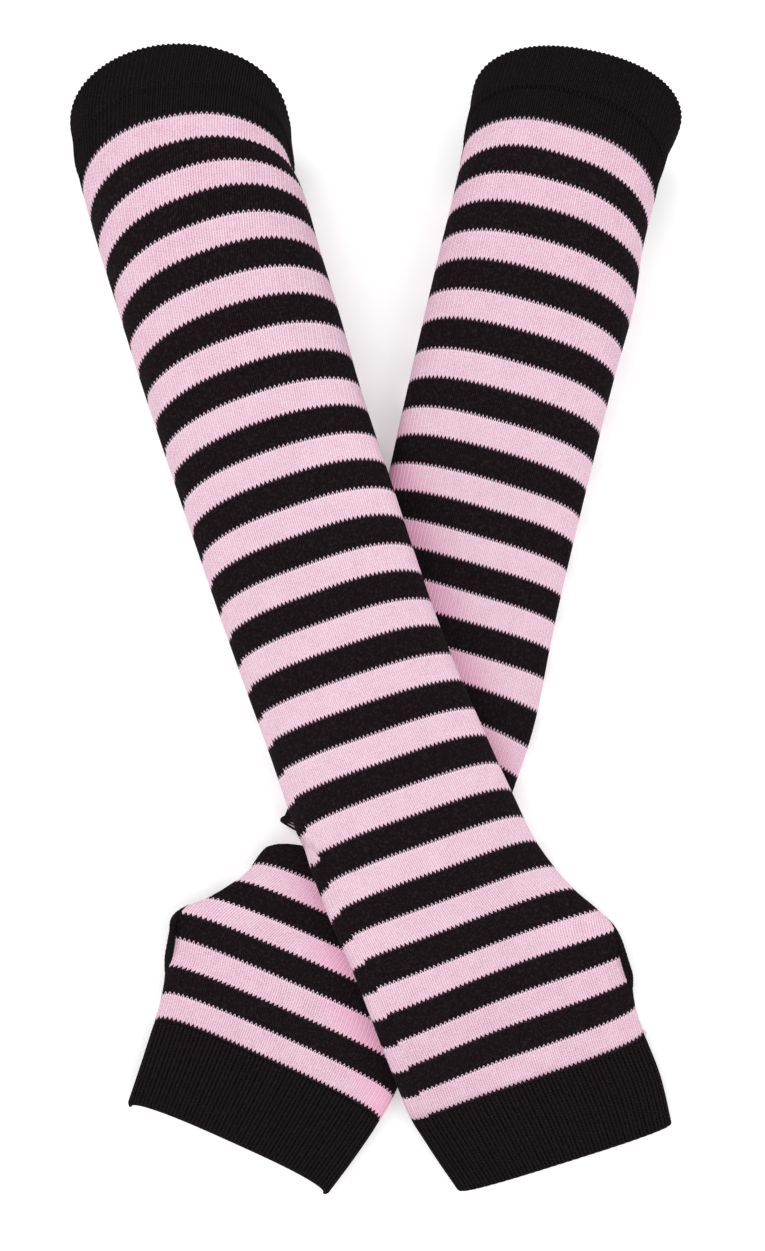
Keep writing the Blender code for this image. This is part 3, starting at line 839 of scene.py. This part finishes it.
def build_top_cuff(prefix, tube, material):
    """Plain cuff: a doubled welt rolled over at the rim, single cloth below its linking line."""
    sizes = bpy.context.scene.knit_sizes
    wales = sizes.wales
    shares = np.linspace(0.0, 1.0, wales * POINTS_PER_WALE + 1)
    ridges = wale_relief(shares * wales, CUFF_RIDGES * sizes.ridge / MM)
    seam = TOP_CUFF - SEAM_COURSE - SEAM_HAIRLINE
    radius = 0.5 * (WELT_RISE + CUFF_WALL)
    rows = []
    for turned in np.linspace(0.5 * math.pi, math.pi, FOLD_ROWS)[:0:-1]:
        rows.append(fold_over(WELT_RISE, -CUFF_WALL, turned) + (RIM_INSIDE_RIDGES,))
    for turned in np.linspace(0.5 * math.pi, 0.0, FOLD_ROWS):
        rows.append(fold_over(WELT_RISE, -CUFF_WALL, turned) + (math.cos(turned),))
    for place in np.linspace(radius, seam, int((seam - radius) / CUFF_ROW) * 2)[1:]:
        lowered = float(ease((place - WELT + 0.5 * WELT_STEP) / WELT_STEP))
        beside = math.exp(-((place - WELT) / LINKING_WIDTH) ** 2)
        pinch = LINKING_SHOWS[prefix] * LINKING_DEPTH * beside
        rows.append((place, WELT_RISE * (1 - lowered) - pinch, 1.0))
    inside = [(seam, -SLEEVE_WALL, 0.0), (WELT + WELT_STEP, -SLEEVE_WALL, 0.0),
              (WELT, -CUFF_WALL, 0.0)]
    shell = Shell()
    chain = []
    for place, offset, share in rows + inside:
        relief = offset + share * (ridges + soft_waves(shares, place, sizes.unevenness / MM))
        chain.append(shell.add(tube.row(place, shares, relief), shares * wales, place))
    shell.chain(chain + chain[:1])
    return shell.build(prefix + "_welted_cuff", material)


def build_hand_cuff(prefix, tube, material):
    """Ribbed cuff: raised ribs outside, plain inside, rounded over at the hem."""
    sizes = bpy.context.scene.knit_sizes
    shares = np.linspace(0.0, 1.0, RIBS * POINTS_PER_RIB + 1)
    ribs = rib_relief(shares * RIBS, sizes.rib / MM)
    seam = SLEEVE_END + SEAM_COURSE + SEAM_HAIRLINE
    radius = 0.5 * CUFF_WALL
    end = LENGTH - radius
    rows = []
    for place in np.linspace(seam, end, int((end - seam) / CUFF_ROW) + 1):
        grown = float(ease((place - seam) / RIB_START))
        rows.append((place, 0.0, RIB_AT_SEAM + (1 - RIB_AT_SEAM) * grown))
    for turned in np.linspace(0.0, math.pi, 2 * FOLD_ROWS)[1:]:
        away, offset = fold_over(0.0, -CUFF_WALL, turned)
        rows.append((LENGTH - away, offset, max(0.0, math.cos(turned))))
    rows.append((0.5 * (seam + end), -CUFF_WALL, 0.0))
    rows.append((seam, -CUFF_WALL, 0.0))
    shell = Shell()
    chain = []
    for place, offset, share in rows:
        relief = offset + share * ribs
        chain.append(shell.add(tube.row(place, shares, relief), shares * RIBS, place))
    shell.chain(chain + chain[:1])
    return shell.build(prefix + "_ribbed_cuff", material)


def build_edging(prefix, tube, material):
    """Bound edge of the thumb slit: a thin overcast cord along the cut."""
    shell = Shell()
    angles = np.linspace(0.0, 2 * math.pi, EDGING_POINTS + 1)
    along = SLIT_HALF_LENGTH * np.cos(angles)
    around = SLIT_HALF_WIDTH * np.sin(angles)
    normal = np.stack([SLIT_HALF_WIDTH * np.cos(angles), SLIT_HALF_LENGTH * np.sin(angles)])
    normal = normal / np.hypot(normal[0], normal[1])
    stitches = np.arange(EDGING_POINTS + 1) / 2.0
    sides = []
    for turn in np.linspace(0.0, 2 * math.pi, EDGING_SIDES, endpoint=False):
        points = []
        for k in range(EDGING_POINTS + 1):
            swell = 1.0 + EDGING_SWELL * (k % 2)
            across = EDGING_HALF_WIDTH * swell * math.cos(turn)
            full = float(ease((along[k] + EDGING_RISES_FROM) / EDGING_RISES_IN)
                         * ease((EDGING_FALLS_TO - along[k]) / EDGING_FALLS_IN))
            top = EDGING_END_RISE + (EDGING_RISE - EDGING_END_RISE) * full
            lift = EDGING_FOOT + 0.5 * (top - EDGING_FOOT) * (1 + math.sin(turn))
            cloth = tube.slit + along[k] + across * normal[0][k]
            share = (around[k] + across * normal[1][k]) / tube.loop(cloth)[3][-1]
            points.append(tube.row(cloth, np.array([share % 1.0]), np.array([lift]))[0])
        sides.append(shell.add(np.array(points), stitches, turn / math.pi))
    shell.chain(sides + sides[:1])
    return shell.build(prefix + "_bound_edge", material)


def build_yarn_end(material):
    """Short pink yarn end that pokes out beside the upper hand cuff."""
    curve = bpy.data.curves.new("yarn_end", "CURVE")
    curve.dimensions = "3D"
    curve.bevel_depth = YARN_END_RADIUS * MM
    curve.bevel_resolution = 3
    curve.use_fill_caps = True
    spline = curve.splines.new("POLY")
    spline.points.add(len(YARN_END) - 1)
    for point, place in zip(spline.points, YARN_END):
        point.co = (*(value * MM for value in place), 1.0)
    spline.points[-1].radius = YARN_END_TIP
    curve.materials.append(material)
    piece = bpy.data.objects.new("loose_yarn_end", curve)
    bpy.context.collection.objects.link(piece)
    return piece


def length(name, description, value, precision=5):
    """A setting in metres."""
    return FloatProperty(name=name, description=description, default=value, unit="LENGTH",
                         precision=precision)


class KnitSizes(bpy.types.PropertyGroup):
    """Sizes of the stitches and their relief."""

    wales: IntProperty(name="Wales", description="Stitch columns round the sleeve",
                       default=116, min=20, max=240)
    wale: length("Wale width", "Width of a stitch column", 0.0014)
    course: length("Course height", "Height of a row of stitches", 0.00102)
    teeth: length("Tooth depth", "How far one yarn's loops reach into the next stripe", 0.0013)
    jog: length("Colour step", "Step of the stripes where the yarns change", 0.0011)
    ridge: length("Wale relief", "Half height of the ridges of the wales", 0.00008)
    rib: length("Rib relief", "Half height of the ribs of the hand cuffs", 0.00036)
    unevenness: length("Unevenness", "Depth of the slow waves of loose cloth", 0.00022)
    twist: length("Twist", "How far the upper sleeve's wales turn aside at the rim", -0.028, 4)


def colour(name, description, value):
    """A colour setting."""
    return FloatVectorProperty(name=name, description=description, subtype="COLOR", size=4,
                               default=(*value, 1.0), min=0.0, max=1.0)


class KnitColours(bpy.types.PropertyGroup):
    """Colours of the yarns, and of the painted shade between the stitch legs and beside the other
    arm warmer.
    """

    pink: colour("Pink", "Pink yarn on the stitch legs", (0.88, 0.63, 0.74))
    pink_pale: colour("Pale pink", "Pink yarn where it is lightest", (0.95, 0.80, 0.87))
    # Painted shade: the deeper pink that stands in for shade and bounced light beside the other arm
    # warmer
    pink_contact_shade: colour("Pink blush", "Pink yarn close beside the other arm warmer",
                       (0.97, 0.44, 0.65))
    # Painted shade: the pink in the shade between the stitch legs
    groove: colour("Pink groove", "Pink cloth between the stitch legs", (0.47, 0.235, 0.33))
    black: colour("Black", "Black yarn on the stitch legs", (0.0135, 0.0085, 0.0105))
    # Painted shade: the black in the shade between the stitch legs
    black_groove_shade: colour("Deep black", "Black cloth between the legs", (0.0008, 0.0005, 0.0006))
    black_fuzz: colour("Black fuzz", "Bloom on the black yarn", (0.037, 0.030, 0.033))
    cuff_black: colour("Cuff black", "Black yarn of the cuffs", (0.011, 0.0085, 0.0094))
    fringe: colour("Fringe", "Black loops beside the pink", (0.045, 0.012, 0.040))


class StageSettings(bpy.types.PropertyGroup):
    """Floor, light and camera."""

    floor: FloatVectorProperty(name="Floor", description="Colour of the floor", subtype="COLOR",
                               size=4, default=(0.92, 0.92, 0.92, 1.0), min=0.0, max=1.0)
    floor_glow: FloatProperty(name="Floor glow", default=0.25, min=0.0,
                              description="Strength of the light table under the floor")
    camera_height: length("Camera height", "Height of the camera over the floor", 0.42, 2)
    camera_x: length("Camera X", "Place of the camera towards +X", 0.00138)
    camera_y: length("Camera Y", "Place of the camera towards +Y", 0.00692)
    view_height: length("View height", "Length of floor seen from top to bottom", 0.46287, 4)
    ambient: FloatProperty(name="Ambient light", default=0.7, min=0.0,
                           description="Strength of the even light")
    softbox: FloatProperty(name="Softbox", default=13.5, min=0.0, unit="POWER",
                           description="Power of the stronger soft light")


class ARMWARMER_OT_top_cuffs(bpy.types.Operator):
    """Build the plain cuffs with their doubled welts"""

    bl_idname = "armwarmer.top_cuffs"
    bl_label = "Top cuffs"

    def execute(self, context):
        for prefix, tube in tubes().items():
            share = LINKING_SHOWS[prefix]
            material = black_material(prefix + "_welt_black", WELT + LINKING_LAG, share)
            piece = build_top_cuff(prefix, tube, material)
            stand_for(piece, "black_knit", prefix + "_top_cuff")
        return {"FINISHED"}


class ARMWARMER_OT_hand_cuffs(bpy.types.Operator):
    """Build the ribbed cuffs at the hands"""

    bl_idname = "armwarmer.hand_cuffs"
    bl_label = "Hand cuffs"

    def execute(self, context):
        material = black_material("rib_black")
        for prefix, tube in tubes().items():
            piece = build_hand_cuff(prefix, tube, material)
            stand_for(piece, "black_knit", prefix + "_hand_cuff")
        return {"FINISHED"}


class ARMWARMER_OT_thumb_edgings(bpy.types.Operator):
    """Build the bound edges of the thumb slits"""

    bl_idname = "armwarmer.thumb_edgings"
    bl_label = "Thumb edgings"

    def execute(self, context):
        material = black_material("edging_black")
        for prefix, tube in tubes().items():
            piece = build_edging(prefix, tube, material)
            stand_for(piece, "black_knit", prefix + "_thumb_edging")
        return {"FINISHED"}


class ARMWARMER_OT_sleeves(bpy.types.Operator):
    """Build the striped sleeves"""

    bl_idname = "armwarmer.sleeves"
    bl_label = "Striped sleeves"

    def execute(self, context):
        for prefix, tube in tubes().items():
            # Only the lower arm warmer gets the painted contact shade
            paints_contact_shade = prefix == "under"
            material = striped_material(prefix + "_striped_jersey", *JOG[prefix], paints_contact_shade)
            piece = build_sleeve(prefix, tube, material)
            stand_for(piece, "striped_knit", prefix + "_arm_sleeve", prefix + "_hand_sleeve")
        return {"FINISHED"}


class ARMWARMER_OT_yarn_end(bpy.types.Operator):
    """Add the short yarn end beside the upper hand cuff"""

    bl_idname = "armwarmer.yarn_end"
    bl_label = "Loose yarn end"

    def execute(self, context):
        sh = Shader("pink_yarn")
        sh.surface.inputs["Base Color"].default_value = tuple(context.scene.knit_colours.pink)
        sh.yarn(0.1, PINK_SHEEN_TINT)
        piece = build_yarn_end(sh.material)
        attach(piece, "root")
        return {"FINISHED"}


def lay_floor(scene, stage):
    """Pale floor with a faint glow, as over a light table."""
    mesh = bpy.data.meshes.new("floor")
    corners = [(-FLOOR_HALF, -FLOOR_HALF, 0.0), (FLOOR_HALF, -FLOOR_HALF, 0.0),
               (FLOOR_HALF, FLOOR_HALF, 0.0), (-FLOOR_HALF, FLOOR_HALF, 0.0)]
    mesh.from_pydata(corners, [], [(0, 1, 2, 3)])
    sh = Shader("floor_paper")
    sh.surface.inputs["Base Color"].default_value = tuple(stage.floor)
    sh.surface.inputs["Roughness"].default_value = FLOOR_ROUGHNESS
    sh.surface.inputs["Specular IOR Level"].default_value = FLOOR_SPECULAR
    sh.surface.inputs["Emission Color"].default_value = WHITE
    sh.surface.inputs["Emission Strength"].default_value = stage.floor_glow
    mesh.materials.append(sh.material)
    floor = bpy.data.objects.new("floor", mesh)
    scene.collection.objects.link(floor)


def light_studio(scene, stage):
    """Even light all round and two soft lights."""
    world = bpy.data.worlds.new("studio")
    world.use_nodes = True
    background = world.node_tree.nodes["Background"]
    background.inputs["Color"].default_value = WHITE
    background.inputs["Strength"].default_value = stage.ambient
    scene.world = world
    for name, place, size, share in SOFTBOXES:
        lamp = bpy.data.lights.new(name, "AREA")
        lamp.shape = "RECTANGLE"
        lamp.size, lamp.size_y = size
        lamp.energy = stage.softbox * share
        light = bpy.data.objects.new(name, lamp)
        light.location = place
        light.rotation_euler = (-light.location).to_track_quat("-Z", "Y").to_euler()
        scene.collection.objects.link(light)


def set_camera(scene, stage):
    """Camera straight above, as for the photograph."""
    lens = bpy.data.cameras.new("camera")
    lens.sensor_fit = "VERTICAL"
    lens.sensor_height = SENSOR
    lens.lens = SENSOR * stage.camera_height / stage.view_height
    lens.clip_start = CLIP_START
    camera = bpy.data.objects.new("camera", lens)
    camera.location = (stage.camera_x, stage.camera_y, stage.camera_height)
    scene.collection.objects.link(camera)
    scene.camera = camera


class ARMWARMER_OT_stage(bpy.types.Operator):
    """Set up the floor, the soft light and the camera"""

    bl_idname = "armwarmer.stage"
    bl_label = "Stage"

    def execute(self, context):
        scene = context.scene
        stage = scene.stage_settings
        lay_floor(scene, stage)
        light_studio(scene, stage)
        set_camera(scene, stage)
        scene.view_settings.view_transform = "Standard"
        return {"FINISHED"}


class ARMWARMER_PT_panel(bpy.types.Panel):
    """Buttons and settings of the arm warmers"""

    bl_idname = "ARMWARMER_PT_panel"
    bl_label = "Arm warmers"
    bl_space_type = "VIEW_3D"
    bl_region_type = "UI"
    bl_category = "Arm warmers"

    def draw(self, context):
        for operator in OPERATORS:
            self.layout.operator(operator.bl_idname)
        for setting in GROUPS:
            group = getattr(context.scene, setting)
            box = self.layout.box()
            for name in group.__annotations__:
                box.prop(group, name)


GROUPS = {"knit_sizes": KnitSizes, "knit_colours": KnitColours, "stage_settings": StageSettings}
OPERATORS = (ARMWARMER_OT_stage, ARMWARMER_OT_top_cuffs, ARMWARMER_OT_hand_cuffs,
             ARMWARMER_OT_thumb_edgings, ARMWARMER_OT_sleeves, ARMWARMER_OT_yarn_end)


def register():
    """Add the settings, the operators and the panel."""
    for made in (*GROUPS.values(), *OPERATORS, ARMWARMER_PT_panel):
        bpy.utils.register_class(made)
    for name, group in GROUPS.items():
        setattr(bpy.types.Scene, name, PointerProperty(type=group))


def unregister():
    """Take them away again."""
    for name in GROUPS:
        delattr(bpy.types.Scene, name)
    for made in (ARMWARMER_PT_panel, *reversed(OPERATORS), *reversed(tuple(GROUPS.values()))):
        bpy.utils.unregister_class(made)


def main():
    """Build the whole scene."""
    register()
    bpy.ops.armwarmer.stage()
    bpy.ops.armwarmer.top_cuffs()
    bpy.ops.armwarmer.hand_cuffs()
    bpy.ops.armwarmer.thumb_edgings()
    bpy.ops.armwarmer.sleeves()
    bpy.ops.armwarmer.yarn_end()


if __name__ == "__main__":
    main()
